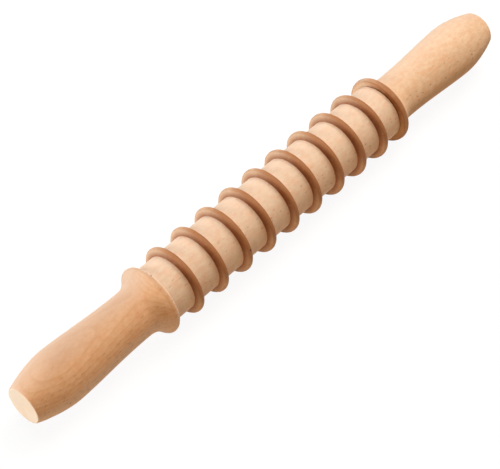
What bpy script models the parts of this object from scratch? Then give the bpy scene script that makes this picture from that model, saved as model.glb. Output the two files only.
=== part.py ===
"""Pasta cutter rolling pin: a beech barrel with nine cutting rings that turns on a steel axle
between two fixed beech handles.

Frame: metres, the pin's axis along X through the origin, +Z up. The origin is the middle of the pin.
Every round piece is turned about X and has a flat facet straight down, so the pin lies steadily.
"""

import math

import bmesh
import bpy

# Whole pin
OVERALL_LENGTH = 0.320
SIDES_OF_WOOD = 40
SIDES_OF_FITTINGS = 32
MERGE_DISTANCE = 0.000001

# Barrel and its cutting rings
RING_COUNT = 9
RING_PITCH = 0.01635
RING_RADIUS = 0.01825
RING_RIM_WIDTH = 0.0019
RING_ROOT_WIDTH = 0.0037
RING_RIM_EASE = 0.00035
LAND_RADIUS = 0.0146

# Bell shaped collar on each handle
COLLAR_BELOW_RINGS = 0.0002
COLLAR_CREST_FROM_FACE = 0.0018
COLLAR_CREST_DROP = 0.00055
COLLAR_SHOULDER_RUN = 0.00115
COLLAR_SHOULDER_DROP = 0.0006
COVE_RUN = 0.0106
COVE_POWER_SHARE = 2.75

# Handle
NECK_RADIUS = 0.0123
SWELL_RADIUS = 0.01415
SWELL_FROM_END = 0.022
SWELL_SKEW_SHARE = 0.85
END_FACE_RADIUS = 0.0093
END_ROUNDING_SHARE = 1.8
END_EDGE_EASE = 0.0004

# Axle, bushes and thrust washers
AXLE_RADIUS = 0.004
AXLE_END_EASE = 0.0006
AXLE_GRIP_LENGTH = 0.045
BUSH_LENGTH = 0.014
BUSH_WALL = 0.0023
BUSH_FLANGE_STEP = 0.0026
BUSH_FLANGE_THICKNESS = 0.0015
WASHER_THICKNESS = 0.0012

# Clearances
SEAT_GAP = 0.0003
RUNNING_CLEARANCE = 0.0002
WASHER_PLAY = 0.0002
BARREL_END_GAP = 0.0004

# Points along the curved stretches of a handle
CREST_POINTS = 3
COVE_POINTS = 7
GRIP_POINTS = 6
END_POINTS = 6

# Places that follow from the sizes above
COLLAR_RADIUS = RING_RADIUS - COLLAR_BELOW_RINGS
COLLAR_CREST_X = (RING_COUNT + 1) / 2 * RING_PITCH
COLLAR_FACE_X = COLLAR_CREST_X - COLLAR_CREST_FROM_FACE
BARREL_END_X = COLLAR_FACE_X - BARREL_END_GAP
HANDLE_LENGTH = OVERALL_LENGTH / 2 - COLLAR_FACE_X
BUSH_RADIUS = AXLE_RADIUS + RUNNING_CLEARANCE + BUSH_WALL
FLANGE_RADIUS = BUSH_RADIUS + BUSH_FLANGE_STEP
WASHER_RECESS_DEPTH = WASHER_PLAY + WASHER_THICKNESS + SEAT_GAP - BARREL_END_GAP

# Linear colours with roughness and metallic value
BEECH_BARREL = ("beech_barrel", (0.72, 0.45, 0.26), 0.55, 0.0)
BEECH_HANDLE = ("beech_handle", (0.74, 0.47, 0.28), 0.55, 0.0)
BRIGHT_STEEL = ("bright_steel", (0.62, 0.62, 0.63), 0.30, 1.0)
WHITE_NYLON = ("white_nylon", (0.83, 0.82, 0.78), 0.45, 0.0)


def clear_scene():
    """Remove every object of the open scene."""
    for item in list(bpy.data.objects):
        bpy.data.objects.remove(item, do_unlink=True)


def make_material(name, colour, roughness, metallic):
    """Plain Principled material with the piece's own colour."""
    material = bpy.data.materials.new(name)
    material.use_nodes = True
    shader = material.node_tree.nodes["Principled BSDF"]
    shader.inputs["Base Color"].default_value = (*colour, 1.0)
    shader.inputs["Roughness"].default_value = roughness
    shader.inputs["Metallic"].default_value = metallic
    material.diffuse_color = (*colour, 1.0)
    return material


def make_frame(name):
    """Empty at the origin that carries the pieces of one body, on the axis the barrel turns about."""
    frame = bpy.data.objects.new(name, None)
    bpy.context.collection.objects.link(frame)
    return frame


def turn_piece(name, outline, sides, closed, material, frame):
    """Turn an outline of (x, radius) points about X. An open outline's two ends become flat faces."""
    mesh_data = bmesh.new()
    half_facet = math.pi / sides
    points = []
    for x, radius in outline:
        place = (x, radius * math.cos(half_facet), radius * math.sin(half_facet))
        points.append(mesh_data.verts.new(place))
    edges = [mesh_data.edges.new(pair) for pair in zip(points, points[1:])]
    if closed:
        edges.append(mesh_data.edges.new((points[-1], points[0])))
    bmesh.ops.spin(
        mesh_data,
        geom=points + edges,
        cent=(0, 0, 0),
        axis=(1, 0, 0),
        dvec=(0, 0, 0),
        angle=math.tau,
        steps=sides,
        use_merge=True,
        use_duplicate=False,
    )
    bmesh.ops.remove_doubles(mesh_data, verts=mesh_data.verts, dist=MERGE_DISTANCE)
    rims = [edge for edge in mesh_data.edges if edge.is_boundary]
    if rims:
        bmesh.ops.holes_fill(mesh_data, edges=rims, sides=sides)
    bmesh.ops.recalc_face_normals(mesh_data, faces=mesh_data.faces)
    mesh = bpy.data.meshes.new(name)
    mesh_data.to_mesh(mesh)
    mesh_data.free()
    mesh.shade_smooth()
    mesh.set_sharp_from_angle(angle=math.radians(25))
    mesh.materials.append(material)
    piece = bpy.data.objects.new(name, mesh)
    bpy.context.collection.objects.link(piece)
    piece.parent = frame
    return piece


def ring_centres():
    """Places of the cutting rings along X, evenly spaced about the middle."""
    middle = (RING_COUNT - 1) / 2
    return [(index - middle) * RING_PITCH for index in range(RING_COUNT)]


def ring_outline(centre):
    """One cutting ring: a low ridge with sloping flanks and a flat rim with eased edges."""
    root = RING_ROOT_WIDTH / 2
    rim = RING_RIM_WIDTH / 2
    half = [
        (root, LAND_RADIUS),
        (rim, RING_RADIUS - RING_RIM_EASE),
        (rim - RING_RIM_EASE, RING_RADIUS),
    ]
    left = [(centre - run, radius) for run, radius in half]
    right = [(centre + run, radius) for run, radius in reversed(half)]
    return left + right


def barrel_outline():
    """Lands and rings outside, and inside the axle bore with a seat for a bush at each end."""
    bore = BUSH_RADIUS + SEAT_GAP
    flange_seat = FLANGE_RADIUS + SEAT_GAP
    seat_floor = BARREL_END_X - BUSH_FLANGE_THICKNESS - SEAT_GAP
    outline = [(-BARREL_END_X, LAND_RADIUS)]
    for centre in ring_centres():
        outline += ring_outline(centre)
    outline += [
        (BARREL_END_X, LAND_RADIUS),
        (BARREL_END_X, flange_seat),
        (seat_floor, flange_seat),
        (seat_floor, bore),
        (-seat_floor, bore),
        (-seat_floor, flange_seat),
        (-BARREL_END_X, flange_seat),
    ]
    return outline


def collar_outline():
    """Collar from its flat face over the crest: an arc up to the crest and a tighter one down."""
    outline = []
    for index in range(CREST_POINTS):
        share = 1 - index / CREST_POINTS
        x = COLLAR_CREST_FROM_FACE * (1 - share)
        outline.append((x, COLLAR_RADIUS - COLLAR_CREST_DROP * share ** 2))
    for index in range(CREST_POINTS):
        share = index / CREST_POINTS
        x = COLLAR_CREST_FROM_FACE + COLLAR_SHOULDER_RUN * share
        outline.append((x, COLLAR_RADIUS - COLLAR_SHOULDER_DROP * share ** 2))
    return outline


def cove_outline():
    """Hollow curve from the collar's shoulder down to the neck, a power of the way back up."""
    shoulder_x = COLLAR_CREST_FROM_FACE + COLLAR_SHOULDER_RUN
    rise = COLLAR_RADIUS - COLLAR_SHOULDER_DROP - NECK_RADIUS
    outline = []
    for index in range(COVE_POINTS):
        share = 1 - index / COVE_POINTS
        x = shoulder_x + COVE_RUN * (1 - share)
        outline.append((x, NECK_RADIUS + rise * share ** COVE_POWER_SHARE))
    return outline


def grip_outline():
    """Long swelling grip from the neck to its thickest place, an eased step that starts slowly."""
    neck_x = COLLAR_CREST_FROM_FACE + COLLAR_SHOULDER_RUN + COVE_RUN
    swell_x = HANDLE_LENGTH - SWELL_FROM_END
    outline = []
    for index in range(GRIP_POINTS):
        share = index / GRIP_POINTS
        back = (1 - share) ** SWELL_SKEW_SHARE
        fall = back * back * (3 - 2 * back)
        radius = SWELL_RADIUS - (SWELL_RADIUS - NECK_RADIUS) * fall
        outline.append((neck_x + (swell_x - neck_x) * share, radius))
    return outline


def end_outline():
    """Rounded end from the thickest place to the flat end face, with an eased edge."""
    curve_run = SWELL_FROM_END - END_EDGE_EASE
    edge_radius = END_FACE_RADIUS + END_EDGE_EASE
    outline = []
    for index in range(END_POINTS + 1):
        share = index / END_POINTS
        x = HANDLE_LENGTH - SWELL_FROM_END + curve_run * share
        drop = (SWELL_RADIUS - edge_radius) * share ** END_ROUNDING_SHARE
        outline.append((x, SWELL_RADIUS - drop))
    outline.append((HANDLE_LENGTH, END_FACE_RADIUS))
    return outline


def handle_outline():
    """Handle from the floor of its blind bore, round the collar and out to the end face.

    Here x is the distance outwards from the collar's flat face.
    """
    bore = AXLE_RADIUS + SEAT_GAP
    recess = FLANGE_RADIUS + SEAT_GAP
    outline = [
        (AXLE_GRIP_LENGTH + SEAT_GAP, bore),
        (WASHER_RECESS_DEPTH, bore),
        (WASHER_RECESS_DEPTH, recess),
        (0, recess),
    ]
    outline += collar_outline()
    outline += cove_outline()
    outline += grip_outline()
    outline += end_outline()
    return outline


def axle_outline():
    """Plain round rod with eased ends, gripped by both handles."""
    half = COLLAR_FACE_X + AXLE_GRIP_LENGTH
    return [
        (-half, AXLE_RADIUS - AXLE_END_EASE),
        (-half + AXLE_END_EASE, AXLE_RADIUS),
        (half - AXLE_END_EASE, AXLE_RADIUS),
        (half, AXLE_RADIUS - AXLE_END_EASE),
    ]


def bush_outline():
    """Flanged bush. Here x is the distance inwards from the barrel's end face."""
    bore = AXLE_RADIUS + RUNNING_CLEARANCE
    return [
        (0, bore),
        (0, FLANGE_RADIUS),
        (BUSH_FLANGE_THICKNESS, FLANGE_RADIUS),
        (BUSH_FLANGE_THICKNESS, BUSH_RADIUS),
        (BUSH_LENGTH, BUSH_RADIUS),
        (BUSH_LENGTH, bore),
    ]


def washer_outline():
    """Thrust washer as wide as the bush's flange. Here x is the distance outwards from its inner face."""
    bore = AXLE_RADIUS + SEAT_GAP
    return [
        (0, bore),
        (0, FLANGE_RADIUS),
        (WASHER_THICKNESS, FLANGE_RADIUS),
        (WASHER_THICKNESS, bore),
    ]


def build_turning_body(beech, nylon):
    """Barrel with its two bushes, which turn together about X."""
    frame = make_frame("turning_barrel_frame")
    turn_piece("cutter_barrel", barrel_outline(), SIDES_OF_WOOD, True, beech, frame)
    for name, end in (("left_bush", -1), ("right_bush", 1)):
        bush = turn_piece(name, bush_outline(), SIDES_OF_FITTINGS, True, nylon, frame)
        bush.location.x = end * BARREL_END_X
        if end > 0:
            bush.rotation_euler.z = math.pi


def build_held_body(beech, steel):
    """Handles, axle and thrust washers, which the cook's hands hold still."""
    frame = make_frame("held_handle_frame")
    turn_piece("axle_rod", axle_outline(), SIDES_OF_FITTINGS, False, steel, frame)
    for side, end in (("left", -1), ("right", 1)):
        handle = turn_piece(side + "_handle", handle_outline(), SIDES_OF_WOOD, False, beech, frame)
        handle.location.x = end * COLLAR_FACE_X
        washer_name = side + "_thrust_washer"
        washer = turn_piece(washer_name, washer_outline(), SIDES_OF_FITTINGS, True, steel, frame)
        washer.location.x = end * (BARREL_END_X + WASHER_PLAY)
        if end < 0:
            handle.rotation_euler.z = math.pi
            washer.rotation_euler.z = math.pi


def main():
    clear_scene()
    barrel_beech = make_material(*BEECH_BARREL)
    handle_beech = make_material(*BEECH_HANDLE)
    steel = make_material(*BRIGHT_STEEL)
    nylon = make_material(*WHITE_NYLON)
    build_turning_body(barrel_beech, nylon)
    build_held_body(handle_beech, steel)
    bpy.context.view_layer.update()


main()
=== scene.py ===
"""Looks of the pasta cutter rolling pin: turned beech, a steel axle and nylon bushes.

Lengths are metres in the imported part's own frame: the axis of the pin is X and +Z is up.
Each piece is a profile of (x, radius) points carried round the X axis.
"""

import math

import bpy
import numpy as np
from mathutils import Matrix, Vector


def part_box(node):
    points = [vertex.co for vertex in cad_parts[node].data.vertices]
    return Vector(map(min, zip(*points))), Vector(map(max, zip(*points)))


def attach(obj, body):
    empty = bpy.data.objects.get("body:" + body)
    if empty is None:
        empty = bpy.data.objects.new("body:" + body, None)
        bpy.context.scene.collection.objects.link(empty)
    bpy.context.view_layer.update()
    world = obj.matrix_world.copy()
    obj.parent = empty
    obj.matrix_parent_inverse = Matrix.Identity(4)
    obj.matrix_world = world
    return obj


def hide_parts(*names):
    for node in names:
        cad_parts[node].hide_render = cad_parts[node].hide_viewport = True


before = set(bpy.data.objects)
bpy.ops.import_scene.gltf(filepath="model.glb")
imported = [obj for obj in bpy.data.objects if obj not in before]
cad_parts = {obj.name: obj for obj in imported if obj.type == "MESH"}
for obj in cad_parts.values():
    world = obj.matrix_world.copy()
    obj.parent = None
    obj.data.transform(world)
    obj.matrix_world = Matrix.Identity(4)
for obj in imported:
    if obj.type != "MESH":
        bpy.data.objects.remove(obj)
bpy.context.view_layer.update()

MILLIMETRE = 0.001

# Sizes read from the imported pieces, so that no turned surface stands outside them
barrel_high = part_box("cutter_barrel")[1]
handle_low, handle_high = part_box("right_handle")
axle_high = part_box("axle_rod")[1]
bush_low, bush_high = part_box("right_bush")
washer_low, washer_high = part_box("right_thrust_washer")
RING_TOP = barrel_high.z
COLLAR_TOP = handle_high.z
BARREL_END = barrel_high.x
COLLAR_FACE = handle_low.x
PIN_END = handle_high.x

# Barrel: nine cutting rings and ten lands
RING_COUNT = 9
RING_PITCH = 16.35 * MILLIMETRE
LAND = 14.56 * MILLIMETRE
RING_RIM_HALF = 1.12 * MILLIMETRE
RING_ROOT_HALF = 1.88 * MILLIMETRE
RIM_EASE = 1.08 * MILLIMETRE
ROOT_EASE = 0.22 * MILLIMETRE
BARREL_BORE = 6.78 * MILLIMETRE
FLANGE_SEAT = 9.37 * MILLIMETRE
FLANGE_SEAT_DEPTH = 1.8 * MILLIMETRE

# Handle, where x runs outwards from the flat face of its collar
COLLAR_EDGE = 17.50 * MILLIMETRE
CREST_RUN = 1.8 * MILLIMETRE
SHOULDER_RUN = 1.15 * MILLIMETRE
SHOULDER_DROP = 0.6 * MILLIMETRE
COVE_RUN = 10.6 * MILLIMETRE
COVE_POWER = 2.75
NECK = 12.27 * MILLIMETRE
SWELL = 14.11 * MILLIMETRE
SWELL_FROM_END = 22.0 * MILLIMETRE
SWELL_SKEW = 0.85
END_DISC = 9.27 * MILLIMETRE
END_POWER = 1.8
END_EASE = 0.4 * MILLIMETRE
WASHER_RECESS = 9.37 * MILLIMETRE
WASHER_RECESS_DEPTH = 1.3 * MILLIMETRE
AXLE_HOLE = 4.28 * MILLIMETRE
AXLE_HOLE_DEPTH = 45.3 * MILLIMETRE

# Fittings
BUSH_BODY = 6.47 * MILLIMETRE
BUSH_BORE = 4.18 * MILLIMETRE
BUSH_FLANGE_THICKNESS = 1.5 * MILLIMETRE
WASHER_BORE = 4.28 * MILLIMETRE
AXLE_END_EASE = 0.6 * MILLIMETRE

# How far from a sharp corner its easing begins
SMALL_CORNER = 0.2 * MILLIMETRE
WASHER_CORNER = 0.12 * MILLIMETRE
COLLAR_CORNER = 0.16 * MILLIMETRE
TIP_CORNER = 0.5 * MILLIMETRE

# The way a profile leaves the collar's edge and comes to the end disc
CREST_LEAD_RUN = 0.5 * MILLIMETRE
CREST_LEAD_RISE = 0.16 * MILLIMETRE
TIP_RISE = 0.06 * MILLIMETRE

# Fineness of the turned surfaces
BARREL_SIDES = 224
HANDLE_SIDES = 240
FITTING_SIDES = 128
RING_STEP = 0.5 * MILLIMETRE
BARREL_STEP = 2.0 * MILLIMETRE
BORE_STEP = 12.0 * MILLIMETRE
HANDLE_STEP = 0.75 * MILLIMETRE
FITTING_STEP = 4.0 * MILLIMETRE
CREST_POINTS = 7
SHOULDER_POINTS = 5
COVE_POINTS = 31
GRIP_POINTS = 73
END_POINTS = 41
CORNER_POINTS = 5
RING_CORNER_POINTS = 6

# A height above the land at which a ring's flank has begun, and a depth below it that is in the bore
FLANK_HEIGHT = 0.3 * MILLIMETRE
BORE_DEPTH = 1.0 * MILLIMETRE

# Lengths below this count as nothing
TINY = 1e-9

# How far below its full radius a surface still counts as the outside
SKIN = 0.3 * MILLIMETRE

# Where the marks that the finishes read begin and end
# Painted shade where rings and collars meet the lands, and its level inside the barrel
ROOT_REACH = 0.12 * MILLIMETRE
ROOT_FADE = 1.2
BARREL_INSIDE_SHADE = 0.6
# Ring flanks: darker end grain with painted shade
FLANK_RISE = (0.02, 0.12)
# Ring rims and collar crests: painted shade
RIM_RISE = (0.72, 0.97)
# Left collar's inner edge: a pale worn line with a painted highlight
COLLAR_RIM_REACH = 0.7 * MILLIMETRE
CREST_FADE = (1.9 * MILLIMETRE, 3.1 * MILLIMETRE)
COLLAR_FACE_DEPTH = 0.05 * MILLIMETRE
SOLID_END = 20 * MILLIMETRE
# The sawn end, painted paler, partly standing in for the light on it
SAWN_FADE_START = 0.25 * MILLIMETRE
SAWN_FADE_END = 0.05 * MILLIMETRE

# Unevenness of the wood: sines of up to this many whole turns, and radians to a metre along the pin
WAVES = 9
MOST_TURNS = 8
WAVE_PACE = 180
LEAST_WAVE = 0.3
BARREL_WAVE = 0.02 * MILLIMETRE
HANDLE_WAVE = 0.04 * MILLIMETRE

# Bruises: the least and most of their widths and depths are in millimetres
BRUISE_STRETCH = 1.6
RECESS_MARGIN = 2 * MILLIMETRE
RING_BRUISES = 46
RING_BRUISE_WIDTH = (0.28, 0.75)
RING_BRUISE_DEPTH = (0.08, 0.26)
COLLAR_BRUISES = 12
COLLAR_BRUISE_WIDTH = (0.25, 0.6)
COLLAR_BRUISE_DEPTH = (0.06, 0.2)
BARREL_BRUISE_SEED = 21
BARREL_WAVE_SEED = 3
LEFT_HANDLE_SEED = 5
RIGHT_HANDLE_SEED = 11


# Profiles


def soften(corners, reach, points=CORNER_POINTS):
    """Outline through the corners with each corner eased.

    Near corner C the outline is the parabola (1-t)^2 A + 2t(1-t) C + t^2 B, where A and B lie the
    corner's reach before and after it on its two edges, and never past the middle of an edge.
    """
    corners = np.asarray(corners, float)
    corner = corners[1:-1]
    to_before = corners[:-2] - corner
    to_after = corners[2:] - corner
    before_length = np.linalg.norm(to_before, axis=1)
    after_length = np.linalg.norm(to_after, axis=1)
    reach = np.broadcast_to(reach, before_length.shape)
    reach = np.minimum(reach, 0.5 * np.minimum(before_length, after_length))
    start = corner + to_before / before_length[:, None] * reach[:, None]
    end = corner + to_after / after_length[:, None] * reach[:, None]
    t = np.linspace(0, 1, points)[None, :, None]
    curve = (1 - t) ** 2 * start[:, None] + 2 * t * (1 - t) * corner[:, None] + t**2 * end[:, None]
    return np.vstack([corners[:1], curve.reshape(-1, 2), corners[-1:]])


def fill_in(outline, step):
    """The same outline with evenly spaced points added along its length.

    A stretch of length L gets L / step - 1 more points, rounded, and at least none.
    """
    gaps = np.linalg.norm(np.diff(outline, axis=0), axis=1)
    outline = outline[np.concatenate([[True], gaps > TINY])]
    gaps = gaps[gaps > TINY]
    step = np.broadcast_to(step if np.isscalar(step) else step(outline), gaps.shape)
    parts = np.maximum(np.round(gaps / step), 1).astype(int)
    length = np.concatenate([[0], np.cumsum(gaps)])
    first = np.repeat(length[:-1], parts)
    piece = np.repeat(gaps / parts, parts)
    number = np.arange(parts.sum()) - np.repeat(np.cumsum(parts) - parts, parts)
    every = np.append(first + number * piece, length[-1])
    return np.column_stack([np.interp(every, length, outline[:, i]) for i in (0, 1)])


def barrel_steps(outline):
    """Fine steps up the rings, middling ones along the lands and long ones in the bore."""
    middle = 0.5 * (outline[1:, 1] + outline[:-1, 1])
    outside = np.where(middle > LAND + FLANK_HEIGHT, RING_STEP, BARREL_STEP)
    return np.where(middle > LAND - BORE_DEPTH, outside, BORE_STEP)


def ring_centres():
    """Places of the rings along X: the pitch times -4 to 4."""
    return (np.arange(RING_COUNT) - (RING_COUNT - 1) / 2) * RING_PITCH


def barrel_profile():
    """Lands and rings along +X, then back through the flange seats and the bore to the start."""
    run = np.array([-RING_ROOT_HALF, -RING_RIM_HALF, RING_RIM_HALF, RING_ROOT_HALF])
    height = np.array([LAND, RING_TOP, RING_TOP, LAND])
    ease = np.array([ROOT_EASE, RIM_EASE, RIM_EASE, ROOT_EASE])
    ring_x = (ring_centres()[:, None] + run[None, :]).ravel()
    rings = np.column_stack([ring_x, np.tile(height, RING_COUNT)])
    seat_floor = BARREL_END - FLANGE_SEAT_DEPTH
    outer = [[-BARREL_END, 0.5 * (FLANGE_SEAT + LAND)], [-BARREL_END, LAND]]
    inner = [
        [BARREL_END, LAND],
        [BARREL_END, FLANGE_SEAT],
        [seat_floor, FLANGE_SEAT],
        [seat_floor, BARREL_BORE],
        [-seat_floor, BARREL_BORE],
        [-seat_floor, FLANGE_SEAT],
        [-BARREL_END, FLANGE_SEAT],
        [-BARREL_END, 0.5 * (FLANGE_SEAT + LAND)],
    ]
    corners = np.vstack([outer, rings, inner])
    after_rings = np.full(len(inner) - 1, SMALL_CORNER)
    reach = np.concatenate([[SMALL_CORNER], np.tile(ease, RING_COUNT), after_rings])
    outline = soften(corners, reach, RING_CORNER_POINTS)
    return fill_in(outline, barrel_steps)[:-1]


def handle_profile():
    """One handle from the floor of its hole, round the collar and out to the middle of its end.

    Collar crest: the top less a drop that grows as the square of the way from it.
    Shoulder: the same on the other side of the top, with its own run and drop.
    Cove: the neck plus a rise that is a power of the way back to the shoulder.
    Grip: the swell less an eased step whose way is skewed towards the neck.
    End: the swell less a drop that is a power of the way to the end disc.
    """
    length = PIN_END - COLLAR_FACE
    up = np.linspace(1, 0, CREST_POINTS)[1:]
    crest = np.column_stack(
        [CREST_RUN * (1 - up), COLLAR_TOP - (COLLAR_TOP - COLLAR_EDGE) * up**2]
    )
    down = np.linspace(0, 1, SHOULDER_POINTS)[1:]
    shoulder = np.column_stack([CREST_RUN + SHOULDER_RUN * down, COLLAR_TOP - SHOULDER_DROP * down**2])
    cove_start = CREST_RUN + SHOULDER_RUN
    rise = COLLAR_TOP - SHOULDER_DROP - NECK
    way = np.linspace(0, 1, COVE_POINTS)[1:]
    cove = np.column_stack([cove_start + COVE_RUN * way, NECK + rise * (1 - way) ** COVE_POWER])
    neck_x = cove_start + COVE_RUN
    swell_x = length - SWELL_FROM_END
    way = np.linspace(0, 1, GRIP_POINTS)[1:]
    back = (1 - way) ** SWELL_SKEW
    fall = back * back * (3 - 2 * back)
    grip = np.column_stack([neck_x + (swell_x - neck_x) * way, SWELL - (SWELL - NECK) * fall])
    way = np.linspace(0, 1, END_POINTS)[1:]
    edge = END_DISC + END_EASE
    end = np.column_stack(
        [swell_x + (SWELL_FROM_END - END_EASE) * way, SWELL - (SWELL - edge) * way**END_POWER]
    )
    hole = soften(
        [
            [AXLE_HOLE_DEPTH, 0],
            [AXLE_HOLE_DEPTH, AXLE_HOLE],
            [WASHER_RECESS_DEPTH, AXLE_HOLE],
            [WASHER_RECESS_DEPTH, WASHER_RECESS],
            [0, WASHER_RECESS],
            [0, COLLAR_EDGE],
            [CREST_LEAD_RUN, COLLAR_EDGE + CREST_LEAD_RISE],
        ],
        COLLAR_CORNER,
    )
    tip = soften([end[-1], [length, END_DISC + TIP_RISE], [length, 0]], TIP_CORNER)
    outline = np.vstack([hole[:-1], crest, shoulder, cove, grip, end[:-1], tip])
    return fill_in(outline, HANDLE_STEP)


def axle_profile():
    """Plain rod from the middle of one end to the middle of the other, with eased ends."""
    top = axle_high.z
    end = axle_high.x
    corners = [
        [-end, 0],
        [-end, top - AXLE_END_EASE],
        [-end + AXLE_END_EASE, top],
        [end - AXLE_END_EASE, top],
        [end, top - AXLE_END_EASE],
        [end, 0],
    ]
    return fill_in(soften(corners, SMALL_CORNER), FITTING_STEP)


def bush_profile():
    """Flanged bush of the right end, out along its body, down its end face and back through its bore."""
    flange = bush_high.z
    inner = bush_low.x
    outer = bush_high.x
    back = outer - BUSH_FLANGE_THICKNESS
    middle = 0.5 * (BUSH_BODY + BUSH_BORE)
    corners = [
        [inner, middle],
        [inner, BUSH_BODY],
        [back, BUSH_BODY],
        [back, flange],
        [outer, flange],
        [outer, BUSH_BORE],
        [inner, BUSH_BORE],
        [inner, middle],
    ]
    return fill_in(soften(corners, SMALL_CORNER), FITTING_STEP)[:-1]


def washer_profile():
    """Flat thrust washer of the right end."""
    top = washer_high.z
    middle = 0.5 * (top + WASHER_BORE)
    corners = [
        [washer_low.x, middle],
        [washer_low.x, top],
        [washer_high.x, top],
        [washer_high.x, WASHER_BORE],
        [washer_low.x, WASHER_BORE],
        [washer_low.x, middle],
    ]
    return fill_in(soften(corners, WASHER_CORNER), FITTING_STEP)[:-1]


def mirrored(profile):
    """The same profile at the other end of the pin, in the order that keeps its faces outwards."""
    return (profile * [-1, 1])[::-1]


# Turned surfaces


def ripples(x, angles, height, seed):
    """Slight unevenness of hand finished wood, all of it below the full radius.

    The sum of several sines of (whole turns times the angle + a pace times x + a phase), divided by
    the square root of their number and times the height, less its own highest value.
    """
    rng = np.random.default_rng(seed)
    turns = rng.integers(1, MOST_TURNS + 1, WAVES)[:, None, None]
    pace = rng.uniform(-WAVE_PACE, WAVE_PACE, WAVES)[:, None, None]
    phase = rng.uniform(0, math.tau, WAVES)[:, None, None]
    share = rng.uniform(LEAST_WAVE, 1.0, WAVES)[:, None, None]
    wave = share * np.sin(turns * angles[None, None, :] + pace * x[None, :, None] + phase)
    wave = height * wave.sum(axis=0) / math.sqrt(WAVES)
    return wave - wave.max()


def bruise_places(rng, edge_x, widths, depths):
    """Rows of (x, turn, width, depth), one for each bruise on an edge."""
    count = len(edge_x)
    turn = rng.uniform(0, math.tau, count)
    width = rng.uniform(*widths, count) * MILLIMETRE
    depth = rng.uniform(*depths, count) * MILLIMETRE
    return np.column_stack([edge_x, turn, width, depth])


def nicks(x, angles, places, radius):
    """Small bruises: each is a depth times the bell exp(-(along/width)^2 - (round/stretched width)^2)."""
    x0, turn, width, depth = (places[:, i][:, None, None] for i in range(4))
    along = (x[None, :, None] - x0) / width
    swing = np.angle(np.exp(1j * (angles[None, None, :] - turn)))
    bell = np.exp(-(along**2) - (swing * radius / (BRUISE_STRETCH * width)) ** 2)
    return (depth * bell).sum(axis=0)


def turned(name, profile, sides, relief=None, marks=None):
    """Surface of two parameters: profile point (x, r) and angle a give (x, r cos a, r sin a).

    The relief is added to r. A profile that starts and ends on the axis is closed by one point at
    each pole, and any other profile closes on itself.
    """
    angles = np.arange(sides) * math.tau / sides
    has_poles = profile[0, 1] < TINY
    rows = profile[1:-1] if has_poles else profile
    radius = rows[:, 1][:, None] + np.zeros(sides)
    if relief is not None:
        radius = radius + relief(rows[:, 0], rows[:, 1], angles)
    along = rows[:, 0][:, None] + np.zeros(sides)
    points = np.stack([along, radius * np.cos(angles), radius * np.sin(angles)], axis=-1)
    points = points.reshape(-1, 3)
    count = len(rows)
    index = np.arange(count * sides).reshape(count, sides)
    beside = np.roll(index, -1, axis=1)
    if has_poles:
        quads = np.stack([index[:-1], beside[:-1], beside[1:], index[1:]], axis=-1)
        first = count * sides
        last = first + 1
        ends = [[profile[0, 0], 0, 0], [profile[-1, 0], 0, 0]]
        points = np.vstack([points, ends])
        start_fan = np.stack([np.full(sides, first), beside[0], index[0]], axis=-1)
        end_fan = np.stack([np.full(sides, last), index[-1], beside[-1]], axis=-1)
        faces = quads.reshape(-1, 4).tolist() + start_fan.tolist() + end_fan.tolist()
    else:
        over = np.roll(index, -1, axis=0)
        beside_over = np.roll(beside, -1, axis=0)
        quads = np.stack([index, beside, beside_over, over], axis=-1)
        faces = quads.reshape(-1, 4).tolist()
    mesh = bpy.data.meshes.new(name)
    mesh.from_pydata(points.tolist(), [], faces)
    mesh.shade_smooth()
    add_marks(mesh, rows, sides, has_poles, marks or {})
    piece = bpy.data.objects.new(name, mesh)
    bpy.context.scene.collection.objects.link(piece)
    return piece


def add_marks(mesh, rows, sides, has_poles, marks):
    """Values that the finishes read, one for each point: two for every piece and the piece's own marks.

    Tool path is the length along the profile. End grain is how far the surface faces along X. Each of
    the piece's own marks is a function of x and radius.
    """
    step = np.gradient(rows, axis=0)
    length = np.linalg.norm(step, axis=1)
    gaps = np.linalg.norm(np.diff(rows, axis=0), axis=1)
    values = {
        "tool_path": np.concatenate([[0], np.cumsum(gaps)]),
        "end_grain": np.abs(step[:, 1]) / np.maximum(length, TINY),
    }
    for mark, function in marks.items():
        values[mark] = function(rows[:, 0], rows[:, 1])
    for mark, value in values.items():
        spread = np.repeat(value, sides)
        if has_poles:
            spread = np.concatenate([spread, value[:1], value[-1:]])
        attribute = mesh.attributes.new(mark, "FLOAT", "POINT")
        attribute.data.foreach_set("value", spread.astype(np.float32))


def smooth_step(value, low, high):
    """0 below low, 1 above high, and 3t^2 - 2t^3 between them."""
    t = np.clip((value - low) / (high - low), 0, 1)
    return t * t * (3 - 2 * t)


def ring_distance(x):
    """Distance along X from the middle of the nearest ring."""
    nearest = np.clip(np.round(x / RING_PITCH), -(RING_COUNT // 2), RING_COUNT // 2)
    return np.abs(x - nearest * RING_PITCH)


def ring_rise(radius):
    """0 on a land and 1 on a ring's rim."""
    return np.clip((radius - LAND) / (RING_TOP - LAND), 0, 1)


def barrel_root_shade(x, radius):
    """Painted shade: 1 where a ring or a collar meets a land, fading up the flank and along the land.

    Inside the barrel, as painted shade in the hollow, it is the same all over.
    """
    from_root = np.maximum(ring_distance(x) - RING_ROOT_HALF, 0)
    from_end = np.maximum(BARREL_END - np.abs(x), 0)
    near = np.exp(-((np.minimum(from_root, from_end) / ROOT_REACH) ** 2))
    return np.where(radius > LAND - SKIN, near * (1 - ring_rise(radius)) ** ROOT_FADE, BARREL_INSIDE_SHADE)


def barrel_flank_grain_and_shade(x, radius):
    """1 on the rings, and 0 on the lands: where the finish darkens them as end grain and as painted
    shade.
    """
    return smooth_step(ring_rise(radius), *FLANK_RISE)


def barrel_rim_shade(x, radius):
    """1 on the rims of the rings, fading down the top quarter of their flanks; it carries painted shade
    on the crests.
    """
    return smooth_step(ring_rise(radius), *RIM_RISE)


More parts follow.
